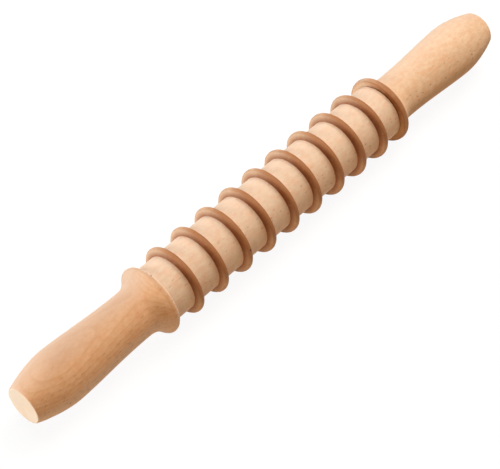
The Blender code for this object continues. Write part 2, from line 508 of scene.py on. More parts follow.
def collar_rim_wear_and_highlight(x, radius):
    """1 on the sharp inner edge of a collar, fading with the distance from it; it marks a pale worn line
    with a painted highlight.
    """
    from_edge = np.hypot(np.abs(x) - COLLAR_FACE, radius - COLLAR_EDGE)
    return np.exp(-((from_edge / COLLAR_RIM_REACH) ** 2))


def collar_crest_shade(x, radius):
    """1 on the crest of a collar, fading at its shoulder; it carries painted shade there."""
    fade = 1 - smooth_step(np.abs(x) - COLLAR_FACE, *CREST_FADE)
    return fade * (radius > COLLAR_EDGE - SKIN)


def collar_face_grain_and_shade(x, radius):
    """1 on the flat face of a collar, and in its recess and hole: where the finish darkens them as end
    grain and as painted shade.
    """
    flat = (np.abs(x) < COLLAR_FACE + COLLAR_FACE_DEPTH) & (radius < COLLAR_EDGE)
    hollow = (radius < WASHER_RECESS) & (np.abs(x) < PIN_END - SOLID_END)
    return np.where(flat | hollow, 1.0, 0.0)


def sawn_end(x, radius):
    """1 on the flat end of a handle, fading round its edge, where the finish paints the end paler, partly
    standing in for the light on it.
    """
    near_end = smooth_step(np.abs(x), PIN_END - SAWN_FADE_START, PIN_END - SAWN_FADE_END)
    return near_end * (radius < END_DISC + END_EASE)


def barrel_relief(x, radius, angles):
    """Unevenness of the outside, and the small bruises along the rims of the rings."""
    rng = np.random.default_rng(BARREL_BRUISE_SEED)
    rings = ring_centres()[rng.integers(0, RING_COUNT, RING_BRUISES)]
    side = rng.choice([-1, 1], RING_BRUISES) * RING_RIM_HALF
    places = bruise_places(rng, rings + side, RING_BRUISE_WIDTH, RING_BRUISE_DEPTH)
    outer = radius > LAND - SKIN
    wave = ripples(x, angles, BARREL_WAVE, BARREL_WAVE_SEED)
    torn = nicks(x, angles, places, RING_TOP) * ring_rise(radius)[:, None] ** 2
    return (wave - torn) * outer[:, None]


def handle_relief(seed):
    """Unevenness of one handle, and the bruises along its collar's inner edge."""

    def relief(x, radius, angles):
        rng = np.random.default_rng(seed)
        edge_x = np.full(COLLAR_BRUISES, math.copysign(COLLAR_FACE, x.mean()))
        places = bruise_places(rng, edge_x, COLLAR_BRUISE_WIDTH, COLLAR_BRUISE_DEPTH)
        outer = (radius > WASHER_RECESS + RECESS_MARGIN) * (1 - sawn_end(x, radius))
        wave = ripples(x, angles, HANDLE_WAVE, seed)
        torn = nicks(x, angles, places, COLLAR_EDGE)
        return (wave - torn) * outer[:, None]

    return relief


# Finishes


class Bench:
    """One node tree, with short calls that put a node in it and join it up."""

    def __init__(self, tree):
        self.tree = tree

    def put(self, kind, inputs=None, **settings):
        """New node of this kind with its settings, and a value or a socket for each named input."""
        node = self.tree.nodes.new(kind)
        for name, value in settings.items():
            setattr(node, name, value)
        for name, value in (inputs or {}).items():
            self.join(value, node.inputs[name])
        return node

    def join(self, value, socket):
        """Give the socket a link if the value is a socket, and otherwise the value itself."""
        if isinstance(value, bpy.types.NodeSocket):
            self.tree.links.new(value, socket)
        else:
            socket.default_value = value

    def maths(self, operation, first, second=0.0, third=0.0, clamp=False):
        """Result of one Math node."""
        values = {0: first, 1: second, 2: third}
        node = self.put("ShaderNodeMath", values, operation=operation, use_clamp=clamp)
        return node.outputs[0]

    def layered(self, base, *layers):
        """Base plus each layer's value times its share."""
        for value, share in layers:
            base = self.maths("MULTIPLY_ADD", value, share, base)
        return base

    def scaled(self, vector, scale):
        """Vector times a scale for each axis."""
        node = self.put("ShaderNodeVectorMath", {0: vector, 1: scale}, operation="MULTIPLY")
        return node.outputs[0]

    def outwards(self, place):
        """Way straight out from the pin's axis, one long."""
        across = self.scaled(place, (0, 1, 1))
        return self.put("ShaderNodeVectorMath", {0: across}, operation="NORMALIZE").outputs[0]

    def facing(self, way, side):
        """Dot product: the cosine of the angle between a way and a side that are each one long."""
        node = self.put("ShaderNodeVectorMath", {0: way, 1: side}, operation="DOT_PRODUCT")
        return node.outputs["Value"]

    def noise(self, vector, detail=2.0, roughness=0.5):
        """Noise about 0, from -0.5 to 0.5."""
        values = {"Vector": vector, "Scale": 1.0, "Detail": detail, "Roughness": roughness}
        node = self.put("ShaderNodeTexNoise", values, noise_dimensions="3D")
        return self.maths("SUBTRACT", node.outputs["Fac"], 0.5)

    def ease(self, value, low, high, start=0.0, end=1.0):
        """Smooth step from start at low to end at high."""
        values = {"Value": value, "From Min": low, "From Max": high, "To Min": start, "To Max": end}
        node = self.put("ShaderNodeMapRange", values, interpolation_type="SMOOTHSTEP")
        return node.outputs["Result"]

    def blend(self, share, first, second, mode="MIX"):
        """Colour from the first towards the second, or towards their product in MULTIPLY mode."""
        node = self.put("ShaderNodeMix", data_type="RGBA", blend_type=mode, clamp_factor=True)
        colours = [s for s in node.inputs if s.type == "RGBA"]
        self.join(share, node.inputs["Factor"])
        self.join(first, colours[0])
        self.join(second, colours[1])
        return next(s for s in node.outputs if s.type == "RGBA")

    def mark(self, name):
        """Value of one of the piece's own marks."""
        node = self.put("ShaderNodeAttribute", attribute_name=name, attribute_type="GEOMETRY")
        return node.outputs["Fac"]


def shade(red, green, blue):
    """Linear colour with full alpha from the usual 0 to 255 values.

    The standard curve of a screen: a straight line in the darkest shades and a power above them.
    """
    value = np.array([red, green, blue]) / 255
    linear = np.where(value <= 0.04045, value / 12.92, ((value + 0.055) / 1.055) ** 2.4)
    return (*linear.tolist(), 1.0)


def new_group(name, inputs, outputs):
    """Empty node group with named sockets, and the bench, input node and output node to fill it with."""
    group = bpy.data.node_groups.new(name, "ShaderNodeTree")
    for label, kind, value in inputs:
        socket = group.interface.new_socket(name=label, in_out="INPUT", socket_type=kind)
        socket.default_value = value
    for label, kind in outputs:
        group.interface.new_socket(name=label, in_out="OUTPUT", socket_type=kind)
    bench = Bench(group)
    return group, bench, bench.put("NodeGroupInput"), bench.put("NodeGroupOutput")


FLOAT = "NodeSocketFloat"
VECTOR = "NodeSocketVector"
COLOUR = "NodeSocketColor"

# Noise in the beech: swings to a metre, along the pin and across it or along the tool's path
WANDER_SWINGS = (16, 60, 60)
RAY_BEND_SWINGS = (55, 160, 160)
RAY_PATCH_SWINGS = (38, 90, 90)
FIBRE_SWINGS = (300, 1700, 1700)
MOTTLE_SWINGS = (360, 560, 560)
BROAD_SWINGS = (40, 95, 95)
BLUSH_SWINGS = (240, 330, 330)
WEAR_SWINGS = (330, 330, 330)
CHIP_SWINGS = (900, 900, 900)
TOOL_MARK_SWINGS = 2600.0

# Growth rings: their wandering, and the dark late wood at the end of each year
RING_WANDER = 2.2 * MILLIMETRE
LATE_POWER = 3.5
LATE_END = 0.86

# Rays: how far they bend, how many there are to a radian and to a metre outwards, and their breadth
RAY_BEND = 0.018
RAYS_ROUND = 140.0
RAYS_OUTWARDS = 620.0
RAY_CORE = 0.12
RAY_RIM = 0.34

# Where rays show: the side that they face, the sawn end and patches
RAY_FACING = (-0.25, 0.7)
LEAST_RAYS = 0.05
END_GRAIN_RAYS = 0.7
RAY_PATCHINESS = 2.2
RAY_CHANCE = (-0.10, 0.04)

# Tone of the beech
MIDDLE_TONE = 0.45
FIBRE_TONE = 0.6
MOTTLE_TONE = 2.2
BROAD_TONE = 0.9
BLUSH_RANGE = (-0.05, 0.2)
# Painted sheen: paler, greyer wood on the upper side, greyest along its top edge
SHEEN_WANDER = 0.4
SHEEN_RANGE = (-0.05, 1.0)
TOP_SHEEN_RANGE = (0.78, 0.96)
# Painted light and shade on the low side, opposite the sheen
LOW_SIDE_RANGE = (-0.95, -0.58)

# Roughness and height of the beech
BEECH_ROUGHNESS = 0.60
MOTTLE_ROUGHNESS = 0.16
RAY_ROUGHNESS = -0.10
FIBRE_HEIGHT = 0.9
MOTTLE_HEIGHT = 0.6
RAY_HEIGHT = -0.35
LATE_HEIGHT = 0.2

# Painted light on the flank lobes, chips, the knot, and the sawn end painted paler
LOBE_LIGHT_POWER = 3.2
LOBE_LIGHT_EDGE_LOSS = 0.5
CHIP_RANGE = (0.13, 0.22)
KNOT_CORE = 0.35 * MILLIMETRE
KNOT_RIM = 0.75 * MILLIMETRE
KNOT_SHARE = 0.9
PALE_END_SHARE = 0.75

# Gloss and bump of each material
BEECH_SPECULAR = 0.28
BEECH_BUMP = {"Strength": 0.55, "Distance": 0.12 * MILLIMETRE}
STEEL_BUMP = {"Strength": 0.4, "Distance": 0.02 * MILLIMETRE}
NYLON_BUMP = {"Strength": 0.3, "Distance": 0.03 * MILLIMETRE}

# Steel and nylon
STEEL_MARK_SWINGS = (5200, 160, 160)
STAIN_SWINGS = (60, 120, 120)
STAIN_TONE = 0.9
STEEL_ROUGHNESS = 0.26
STEEL_MARK_ROUGHNESS = 0.22
STAIN_ROUGHNESS = 0.18
CLOUD_SWINGS = (90, 140, 140)
SATIN_SWINGS = (4200, 4200, 4200)
CLOUD_TONE = 1.2
NYLON_ROUGHNESS = 0.42
CLOUD_ROUGHNESS = 0.2


def beech_figure_and_sheen_group():
    """Grain of a beech blank whose pith runs beside it, worked out in three dimensions.

    Growth rings: a saw tooth of the distance from the leaning pith line, wandering with slow noise.
    Rays: thin radial sheets, which show as short dashes, broad flecks or spokes by how they are cut.
    Tone: noise of three sizes, then rosy patches, a painted sheen that makes one side of the blank paler
    and greyer and its top edge greyest, and painted light and shade on the side opposite to it.
    """
    group, bench, given, made = new_group(
        "beech figure and painted light",
        [
            ("Place", VECTOR, (0, 0, 0)),
            ("End Grain", FLOAT, 0.0),
            ("Pith", VECTOR, (0, -0.04, 0)),
            ("Lean", VECTOR, (0, 0, 0)),
            ("Ring Width", FLOAT, 2.6 * MILLIMETRE),
            ("Ring Depth", FLOAT, 0.3),
            ("Ray Share", FLOAT, 0.5),
            ("Ray Depth", FLOAT, 0.5),
            ("Ray Side", VECTOR, (0, 0, -1)),
            ("Ray Fineness", FLOAT, 230.0),
            ("Mottle Depth", FLOAT, 0.5),
            ("Blush Depth", FLOAT, 0.5),
            # Painted sheen on the upper side and along its top edge
            ("Sheen Side", VECTOR, (0, 0.87, 0.49)),
            ("Painted Sheen Share", FLOAT, 0.35),
            ("Painted Top Sheen Share", FLOAT, 0.0),
            # Painted light and shade on the low side
            ("Painted Low Side Share", FLOAT, 0.0),
            ("Light Wood", COLOUR, shade(240, 205, 172)),
            ("Dark Wood", COLOUR, shade(222, 176, 138)),
            ("Blush Wood", COLOUR, shade(236, 180, 136)),
            # Colours of the painted sheen, the top-edge sheen, and the painted light and shade of the low
            # side
            ("Painted Sheen Colour", COLOUR, shade(222, 205, 192)),
            ("Painted Top Sheen Colour", COLOUR, shade(222, 194, 170)),
            ("Painted Low Side Colour", COLOUR, shade(200, 150, 98)),
            ("Ray Wood", COLOUR, shade(168, 112, 72)),
        ],
        [("Colour", COLOUR), ("Roughness", FLOAT), ("Height", FLOAT)],
    )
    place = given.outputs["Place"]
    x, y, z = bench.put("ShaderNodeSeparateXYZ", {0: place}).outputs
    pith = bench.put("ShaderNodeSeparateXYZ", {0: given.outputs["Pith"]}).outputs
    lean = bench.put("ShaderNodeSeparateXYZ", {0: given.outputs["Lean"]}).outputs
    across = []
    for axis, middle, slope in ((y, pith[1], lean[1]), (z, pith[2], lean[2])):
        shifted = bench.maths("SUBTRACT", axis, middle)
        leant = bench.maths("MULTIPLY", x, slope)
        across.append(bench.maths("SUBTRACT", shifted, leant))
    squares = [bench.maths("MULTIPLY", side, side) for side in across]
    distance = bench.maths("SQRT", bench.maths("ADD", squares[0], squares[1]))
    angle = bench.maths("ARCTAN2", across[1], across[0])

    slow = bench.noise(bench.scaled(place, WANDER_SWINGS), 2.0)
    wander = bench.layered(distance, (slow, RING_WANDER))
    phase = bench.maths("DIVIDE", wander, given.outputs["Ring Width"])
    saw = bench.maths("FRACT", phase)
    late = bench.maths("POWER", saw, LATE_POWER)
    late = bench.maths("MULTIPLY", late, bench.ease(saw, LATE_END, 1.0, 1.0, 0.0))

    bend = bench.noise(bench.scaled(place, RAY_BEND_SWINGS), 1.0)
    ray_turn = bench.layered(angle, (bend, RAY_BEND))
    ray_place = bench.put(
        "ShaderNodeCombineXYZ",
        {
            0: bench.maths("MULTIPLY", x, given.outputs["Ray Fineness"]),
            1: bench.maths("MULTIPLY", ray_turn, RAYS_ROUND),
            2: bench.maths("MULTIPLY", distance, RAYS_OUTWARDS),
        },
    )
    cells = bench.put(
        "ShaderNodeTexVoronoi",
        {"Vector": ray_place.outputs[0], "Scale": 1.0, "Randomness": 1.0},
        voronoi_dimensions="3D",
        feature="F1",
    )
    spindle = bench.ease(cells.outputs["Distance"], RAY_CORE, RAY_RIM, 1.0, 0.0)
    chance = bench.put("ShaderNodeSeparateColor", {0: cells.outputs["Color"]}).outputs[0]
    patches = bench.noise(bench.scaled(place, RAY_PATCH_SWINGS), 2.0)
    outwards = bench.outwards(place)
    ray_facing = bench.facing(outwards, given.outputs["Ray Side"])
    sheen_facing = bench.facing(outwards, given.outputs["Sheen Side"])
    cut_across = bench.maths("POWER", given.outputs["End Grain"], 2.0)
    showing = bench.ease(ray_facing, *RAY_FACING, LEAST_RAYS, 1.0)
    showing = bench.layered(showing, (cut_across, END_GRAIN_RAYS))
    showing = bench.maths("MULTIPLY", showing, bench.layered(1.0, (patches, RAY_PATCHINESS)))
    limit = bench.maths("MULTIPLY", showing, given.outputs["Ray Share"])
    kept = bench.ease(bench.maths("SUBTRACT", chance, limit), *RAY_CHANCE, 1.0, 0.0)
    ray = bench.maths("MULTIPLY", spindle, kept)

    fibre = bench.noise(bench.scaled(place, FIBRE_SWINGS), 2.0, 0.6)
    mottle = bench.noise(bench.scaled(place, MOTTLE_SWINGS), 3.0, 0.65)
    broad = bench.noise(bench.scaled(place, BROAD_SWINGS), 2.0)
    blush = bench.noise(bench.scaled(place, BLUSH_SWINGS), 3.0, 0.6)
    fibre_tone = bench.maths("MULTIPLY", fibre, FIBRE_TONE)
    uneven = bench.layered(fibre_tone, (mottle, MOTTLE_TONE), (broad, BROAD_TONE))
    tone = bench.layered(MIDDLE_TONE, (uneven, given.outputs["Mottle Depth"]))
    tone = bench.maths("MULTIPLY_ADD", late, given.outputs["Ring Depth"], tone, clamp=True)
    colour = bench.blend(tone, given.outputs["Light Wood"], given.outputs["Dark Wood"])
    # Painted sheen on the upper side and along its top edge, painted light and shade on the low side
    sheen = bench.layered(sheen_facing, (broad, SHEEN_WANDER))
    for strength, share, wood in (
        (bench.ease(blush, *BLUSH_RANGE), "Blush Depth", "Blush Wood"),
        (bench.ease(sheen, *SHEEN_RANGE), "Painted Sheen Share", "Painted Sheen Colour"),
        (bench.ease(sheen_facing, *TOP_SHEEN_RANGE), "Painted Top Sheen Share", "Painted Top Sheen Colour"),
        # Painted light and shade on the low side
        (bench.ease(sheen_facing, *LOW_SIDE_RANGE, 1.0, 0.0), "Painted Low Side Share", "Painted Low Side Colour"),
        (ray, "Ray Depth", "Ray Wood"),
    ):
        strength = bench.maths("MULTIPLY", strength, given.outputs[share])
        colour = bench.blend(strength, colour, given.outputs[wood])

    rough = bench.layered(BEECH_ROUGHNESS, (mottle, MOTTLE_ROUGHNESS))
    rough = bench.maths("MULTIPLY_ADD", ray, RAY_ROUGHNESS, rough, clamp=True)
    mottle_height = bench.maths("MULTIPLY", mottle, MOTTLE_HEIGHT)
    height = bench.layered(mottle_height, (fibre, FIBRE_HEIGHT), (ray, RAY_HEIGHT), (late, LATE_HEIGHT))
    bench.join(colour, made.inputs["Colour"])
    bench.join(rough, made.inputs["Roughness"])
    bench.join(height, made.inputs["Height"])
    return group


def handling_and_painted_light_group():
    """What turning, sanding and use leave, with painted light and shade: flanks, roots, edges, chips, a
    paler sawn end, tool marks.

    Tool marks are noise of the tool path alone, so each one runs right round the piece. The flank tint is
    darker end grain with painted shade, the root tint is painted shade, and the dark edge colour on the
    ring and collar crests is painted shade; on the left collar the edge colour is a pale worn line with a
    painted highlight. The sawn end is painted paler, partly standing in for the light on it. Flanks get
    painted light on their lobes that face towards and away from one side: the share is a power of the
    cosine of the angle from that side, made positive, times its share. Edge colours lose a part of that
    share. The knot is a dark spot round one place.
    """
    group, bench, given, made = new_group(
        "turning, handling and painted light",
        [
            ("Colour", COLOUR, (0.8, 0.6, 0.4, 1)),
            ("Height", FLOAT, 0.0),
            ("Place", VECTOR, (0, 0, 0)),
            ("Tool Path", FLOAT, 0.0),
            ("Flank", FLOAT, 0.0),
            ("Root", FLOAT, 0.0),
            ("Edge", FLOAT, 0.0),
            ("Pale End", FLOAT, 0.0),
            ("Flank Grain And Shade Tint", COLOUR, shade(175, 132, 91)),
            ("Painted Lobe Light Tint", COLOUR, shade(254, 248, 236)),
            ("Lobe Light Side", VECTOR, (0, 0.87, 0.49)),
            ("Painted Lobe Light Share", FLOAT, 0.0),
            ("Root Shade Tint", COLOUR, shade(170, 120, 85)),
            ("Edge Wear And Painted Light And Shade", COLOUR, shade(244, 212, 182)),
            ("Edge Share", FLOAT, 0.6),
            ("End Wood And Painted Light", COLOUR, shade(232, 218, 199)),
            ("Chips", FLOAT, 0.3),
            ("Chip Wood", COLOUR, shade(120, 70, 36)),
            ("Patchiness", FLOAT, 1.2),
            ("Knot", VECTOR, (0, 0, 1)),
            ("Knot Wood", COLOUR, shade(62, 28, 12)),
            ("Mark Depth", FLOAT, 0.5),
        ],
        [("Colour", COLOUR), ("Height", FLOAT)],
    )
    place = given.outputs["Place"]
    patch = bench.noise(bench.scaled(place, WEAR_SWINGS), 3.0, 0.6)
    broken = bench.maths("MULTIPLY_ADD", patch, given.outputs["Patchiness"], 1.0, clamp=True)
    # Painted light: the flank tint turns pale on the lobes that face towards and away from one side
    facing = bench.facing(bench.outwards(place), given.outputs["Lobe Light Side"])
    painted_lobe_light = bench.maths("POWER", bench.maths("ABSOLUTE", facing), LOBE_LIGHT_POWER)
    painted_lobe_light = bench.maths("MULTIPLY", painted_lobe_light, given.outputs["Painted Lobe Light Share"], clamp=True)
    tint = bench.blend(painted_lobe_light, given.outputs["Flank Grain And Shade Tint"], given.outputs["Painted Lobe Light Tint"])
    # Flanks and collar faces: darker end grain with painted shade
    flank = bench.maths("MULTIPLY", given.outputs["Flank"], broken)
    colour = bench.blend(flank, given.outputs["Colour"], tint, "MULTIPLY")
    # Painted shade where the rings and collars meet the lands, and inside the barrel
    root = bench.maths("MULTIPLY", given.outputs["Root"], broken)
    colour = bench.blend(root, colour, given.outputs["Root Shade Tint"], "MULTIPLY")
    # Edge colour: painted shade on the ring and right collar crests, a pale worn line with a painted
    # highlight on the left collar
    edge = bench.maths("MULTIPLY", given.outputs["Edge"], broken)
    edge = bench.maths("MULTIPLY", edge, given.outputs["Edge Share"])
    edge = bench.maths("MULTIPLY", edge, bench.layered(1.0, (painted_lobe_light, -LOBE_LIGHT_EDGE_LOSS)))
    colour = bench.blend(edge, colour, given.outputs["Edge Wear And Painted Light And Shade"])
    bits = bench.ease(bench.noise(bench.scaled(place, CHIP_SWINGS), 1.0), *CHIP_RANGE)
    bits = bench.maths("MULTIPLY", bits, given.outputs["Edge"])
    bits = bench.maths("MULTIPLY", bits, given.outputs["Chips"])
    colour = bench.blend(bits, colour, given.outputs["Chip Wood"])
    from_knot = bench.put(
        "ShaderNodeVectorMath", {0: place, 1: given.outputs["Knot"]}, operation="DISTANCE"
    )
    knot = bench.ease(from_knot.outputs["Value"], KNOT_CORE, KNOT_RIM, KNOT_SHARE, 0.0)
    colour = bench.blend(knot, colour, given.outputs["Knot Wood"])
    # The sawn end painted paler, partly standing in for the light on it
    pale = bench.maths("MULTIPLY", given.outputs["Pale End"], PALE_END_SHARE)
    colour = bench.blend(pale, colour, given.outputs["End Wood And Painted Light"])
    bench.join(colour, made.inputs["Colour"])

    path = bench.maths("MULTIPLY", given.outputs["Tool Path"], TOOL_MARK_SWINGS)
    lathe = bench.put(
        "ShaderNodeTexNoise", {"W": path, "Scale": 1.0, "Detail": 2.0}, noise_dimensions="1D"
    )
    turning = bench.maths("SUBTRACT", lathe.outputs["Fac"], 0.5)
    height = bench.layered(given.outputs["Height"], (turning, given.outputs["Mark Depth"]))
    bench.join(height, made.inputs["Height"])
    return group


def new_material(name):
    """Node material with only its shader and output, the bench to fill it with, and that shader."""
    material = bpy.data.materials.new(name)
    material.use_nodes = True
    bench = Bench(material.node_tree)
    return material, bench, material.node_tree.nodes["Principled BSDF"]


def object_place(bench):
    """The piece's own Object coordinates."""
    return bench.put("ShaderNodeTexCoord").outputs["Object"]


def finish_surface(bench, shader, colour, roughness, height, bump):
    """Give the shader its colour and roughness, and a bump of the height."""
    bump = bench.put("ShaderNodeBump", {**bump, "Height": height})
    bench.join(colour, shader.inputs["Base Color"])
    bench.join(roughness, shader.inputs["Roughness"])
    bench.join(bump.outputs["Normal"], shader.inputs["Normal"])


def beech(name, figure_and_sheen, handling_and_light, blank, touch):
    """Turned, sanded and lightly oiled beech: the figure of one blank under handling marks and painted
    light and shade.

    The blank and the touch give the two groups' named inputs. A mark that the piece doesn't have
    reads as 0.
    """
    material, bench, shader = new_material(name)
    place = object_place(bench)
    grain_and_sheen = bench.put("ShaderNodeGroup", node_tree=figure_and_sheen)
    bench.join(place, grain_and_sheen.inputs["Place"])
    bench.join(bench.mark("end_grain"), grain_and_sheen.inputs["End Grain"])
    for label, value in blank.items():
        bench.join(value, grain_and_sheen.inputs[label])
    finish = bench.put("ShaderNodeGroup", node_tree=handling_and_light)
    bench.join(grain_and_sheen.outputs["Colour"], finish.inputs["Colour"])
    bench.join(grain_and_sheen.outputs["Height"], finish.inputs["Height"])
    bench.join(place, finish.inputs["Place"])
    for label, mark in (
        ("Tool Path", "tool_path"),
        ("Flank", "flank"),
        ("Root", "root"),
        ("Edge", "edge"),
        ("Pale End", "pale_end"),
    ):
        bench.join(bench.mark(mark), finish.inputs[label])
    for label, value in touch.items():
        bench.join(value, finish.inputs[label])
    colour = finish.outputs["Colour"]
    height = finish.outputs["Height"]
    finish_surface(bench, shader, colour, grain_and_sheen.outputs["Roughness"], height, BEECH_BUMP)
    shader.inputs["Specular IOR Level"].default_value = BEECH_SPECULAR
    return material


def bright_steel(name):
    """Ground steel: fine marks round the axle, and a slight stain that varies its gloss."""
    material, bench, shader = new_material(name)
    place = object_place(bench)
    marks = bench.noise(bench.scaled(place, STEEL_MARK_SWINGS), 2.0)
    stain = bench.noise(bench.scaled(place, STAIN_SWINGS), 4.0, 0.6)
    tone = bench.maths("MULTIPLY_ADD", stain, STAIN_TONE, 0.5, clamp=True)
    colour = bench.blend(tone, shade(205, 206, 208), shade(176, 177, 180))
    rough = bench.layered(STEEL_ROUGHNESS, (marks, STEEL_MARK_ROUGHNESS))
    rough = bench.maths("MULTIPLY_ADD", stain, STAIN_ROUGHNESS, rough, clamp=True)
    finish_surface(bench, shader, colour, rough, marks, STEEL_BUMP)
    shader.inputs["Metallic"].default_value = 1.0
    return material


def white_nylon(name):
    """Moulded nylon: milky white with faint flow clouds and a fine satin grain."""
    material, bench, shader = new_material(name)
    place = object_place(bench)
    clouds = bench.noise(bench.scaled(place, CLOUD_SWINGS), 3.0, 0.55)
    satin = bench.noise(bench.scaled(place, SATIN_SWINGS), 1.0)
    tone = bench.maths("MULTIPLY_ADD", clouds, CLOUD_TONE, 0.5, clamp=True)
    colour = bench.blend(tone, shade(240, 238, 230), shade(228, 225, 214))
    rough = bench.layered(NYLON_ROUGHNESS, (clouds, CLOUD_ROUGHNESS))
    finish_surface(bench, shader, colour, rough, satin, NYLON_BUMP)
    return material


figure_and_sheen_group = beech_figure_and_sheen_group()
handling_and_light = handling_and_painted_light_group()
barrel_finish = beech(
    "beech_of_the_barrel",
    figure_and_sheen_group,
    handling_and_light,
    {
        "Pith": (0, -0.030, -0.034),
        "Lean": (0, 0.035, -0.05),
        "Ring Width": 1.9 * MILLIMETRE,
        "Ring Depth": 0.22,
        "Ray Share": 0.42,
        "Ray Depth": 0.50,
        "Ray Side": (0, -0.84, -0.42),
        "Ray Fineness": 300.0,
        "Mottle Depth": 0.75,
        "Blush Depth": 0.55,
        # Painted sheen along the top edge
        "Painted Top Sheen Share": 0.50,
        "Light Wood": shade(249, 219, 188),
        "Dark Wood": shade(237, 195, 156),
        "Blush Wood": shade(245, 192, 148),
        "Ray Wood": shade(178, 112, 72),
    },
    {
        # Painted shade on the crests of the rings
        "Edge Wear And Painted Light And Shade": shade(172, 112, 68),
        "Edge Share": 1.0,
        # Painted light on the lobes of the ring flanks
        "Painted Lobe Light Share": 1.3,
        "Patchiness": 0.5,
        "Knot": (-0.0325, -0.0171, 0.0062),
    },
)
left_finish = beech(
    "beech_of_the_left_handle",
    figure_and_sheen_group,
    handling_and_light,
    {
        "Pith": (0, 0.0025, -0.034),
        "Lean": (0, 0.02, 0.02),
        "Ring Width": 1.5 * MILLIMETRE,
        "Ring Depth": 0.60,
        "Ray Share": 0.75,
        "Ray Depth": 0.55,
        "Ray Side": (0, -0.80, -0.60),
        "Ray Fineness": 230.0,
        "Mottle Depth": 0.50,
        "Blush Depth": 0.45,
        # Painted sheen on the upper side and along the top edge
        "Painted Sheen Share": 0.60,
        "Painted Top Sheen Share": 0.35,
        # Painted light on the lower side
        "Painted Low Side Share": 0.70,
        "Painted Low Side Colour": shade(240, 206, 174),
        "Light Wood": shade(241, 193, 148),
        "Dark Wood": shade(224, 164, 114),
        "Blush Wood": shade(227, 160, 110),
        "Painted Sheen Colour": shade(200, 176, 158),
        "Ray Wood": shade(150, 84, 46),
    },
    # A pale worn line with a painted highlight along the collar's inner edge
    {"Edge Wear And Painted Light And Shade": shade(253, 228, 200), "Edge Share": 0.9, "Chips": 1.0},
)
right_finish = beech(
    "beech_of_the_right_handle",
    figure_and_sheen_group,
    handling_and_light,
    {
        "Pith": (0, -0.020, -0.034),
        "Lean": (0, -0.03, 0.04),
        "Ring Width": 1.7 * MILLIMETRE,
        "Ring Depth": 0.22,
        "Ray Share": 0.60,
        "Ray Depth": 0.50,
        "Ray Side": (0, -0.80, -0.60),
        "Ray Fineness": 290.0,
        "Mottle Depth": 0.75,
        "Blush Depth": 0.60,
        # Painted sheen along the top edge
        "Painted Top Sheen Share": 0.45,
        # Painted shade on the lower side
        "Painted Low Side Share": 0.70,
        "Light Wood": shade(250, 213, 174),
        "Dark Wood": shade(233, 183, 138),
        "Blush Wood": shade(240, 182, 134),
        "Ray Wood": shade(160, 96, 54),
    },
    # Painted shade on the collar's crest, and painted light on the lobes of its flat face
    {"Edge Wear And Painted Light And Shade": shade(172, 112, 68), "Edge Share": 1.0, "Painted Lobe Light Share": 1.3, "Patchiness": 0.5},
)
steel = bright_steel("ground_steel")
nylon = white_nylon("moulded_nylon")


# Pieces


def place_piece(piece, material, body, node):
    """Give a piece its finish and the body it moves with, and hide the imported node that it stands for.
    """
    piece.data.materials.append(material)
    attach(piece, body)
    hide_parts(node)


barrel = turned(
    "turned_beech_barrel",
    barrel_profile(),
    BARREL_SIDES,
    barrel_relief,
    # Painted shade at the ring roots and crests; end grain with painted shade on the flanks
    {"root": barrel_root_shade, "flank": barrel_flank_grain_and_shade, "edge": barrel_rim_shade},
)
place_piece(barrel, barrel_finish, "turning_barrel", "cutter_barrel")

right_profile = handle_profile() + [COLLAR_FACE, 0]
for side, profile, finish, seed, edge in (
    ("left", mirrored(right_profile), left_finish, LEFT_HANDLE_SEED, collar_rim_wear_and_highlight),
    ("right", right_profile, right_finish, RIGHT_HANDLE_SEED, collar_crest_shade),
):
    # Collar faces: darker end grain with painted shade; the sawn end painted paler, partly for the light
    # on it
    marks = {"flank": collar_face_grain_and_shade, "edge": edge, "pale_end": sawn_end}
    handle = turned(f"turned_beech_{side}_handle", profile, HANDLE_SIDES, handle_relief(seed), marks)
    place_piece(handle, finish, "held_handles", f"{side}_handle")

axle = turned("ground_axle_rod", axle_profile(), FITTING_SIDES)
place_piece(axle, steel, "held_handles", "axle_rod")
for side, turn_over in (("left", mirrored), ("right", np.asarray)):
    bush = turned(f"moulded_{side}_bush", turn_over(bush_profile()), FITTING_SIDES)
    place_piece(bush, nylon, "turning_barrel", f"{side}_bush")
    washer = turned(f"stamped_{side}_washer", turn_over(washer_profile()), FITTING_SIDES)
    place_piece(washer, steel, "held_handles", f"{side}_thrust_washer")


# Floor, light and camera

FLOOR_GAP = 0.05 * MILLIMETRE
FLOOR_HALF = 3.0
FLOOR_PAINT = (0.11, 0.11, 0.11, 1)
FLOOR_BOUNCE = (0.72, 0.58, 0.43, 1)
FLOOR_GLOW = 0.92
FLOOR_MIRROR_GLOW = 0.9
WHITE = (1, 1, 1, 1)

CAMERA_AZIMUTH = math.radians(-47.49)
CAMERA_ELEVATION = math.radians(50.26)
CAMERA_DISTANCE = 0.83473
CAMERA_TO_LEFT = 0.009685
CAMERA_DOWN = 0.016136
LENS = 126.0
SENSOR = 36.0
NEAREST_SEEN = 0.01
FURTHEST_SEEN = 50.0

WIDE_LAMP = 0.7
SMALL_LAMP = 0.35


